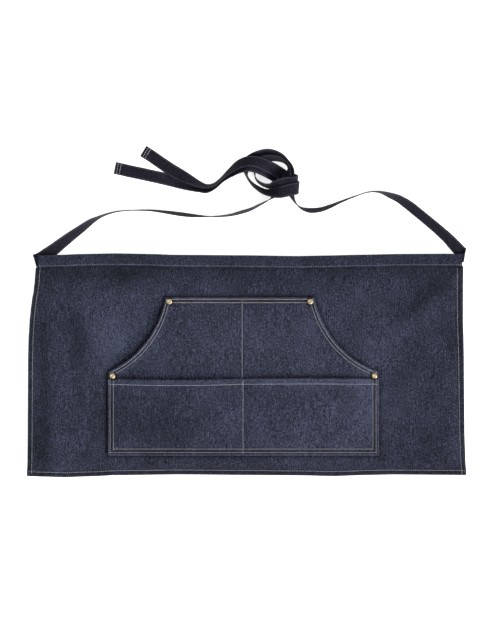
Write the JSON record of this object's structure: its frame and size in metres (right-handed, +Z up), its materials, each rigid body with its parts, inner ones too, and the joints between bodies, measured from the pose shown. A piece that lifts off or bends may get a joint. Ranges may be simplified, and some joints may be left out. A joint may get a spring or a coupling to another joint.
{
  "type": "waist apron",
  "caption": "Short denim waist apron lying flat, its ties knotted above it, with a hand pocket with curved side mouths and a wide pocket on top, and brass rivets.",
  "frame": {"origin": "on the surface the apron lies on, under the middle of its box", "axes": "+X from the left side to the right side as seen in the picture, +Y from the bottom hem towards the waistband, +Z up out of the cloth"},
  "size_m": [0.7024, 0.5296, 0.0273],
  "materials": {
    "denim": "matte twill",
    "pocket_denim": "matte twill",
    "tie_denim": "matte twill",
    "rivet_brass": "polished"
  },
  "bodies": {
    "root": {"skirt_panel": "denim", "waistband": "denim", "tie_left": "tie_denim", "tie_right": "tie_denim", "upper_pocket": "pocket_denim", "lower_pocket": "pocket_denim", "rivet_top_left": "rivet_brass", "rivet_top_right": "rivet_brass", "rivet_side_left": "rivet_brass", "rivet_side_right": "rivet_brass"}
  },
  "joints": []
}
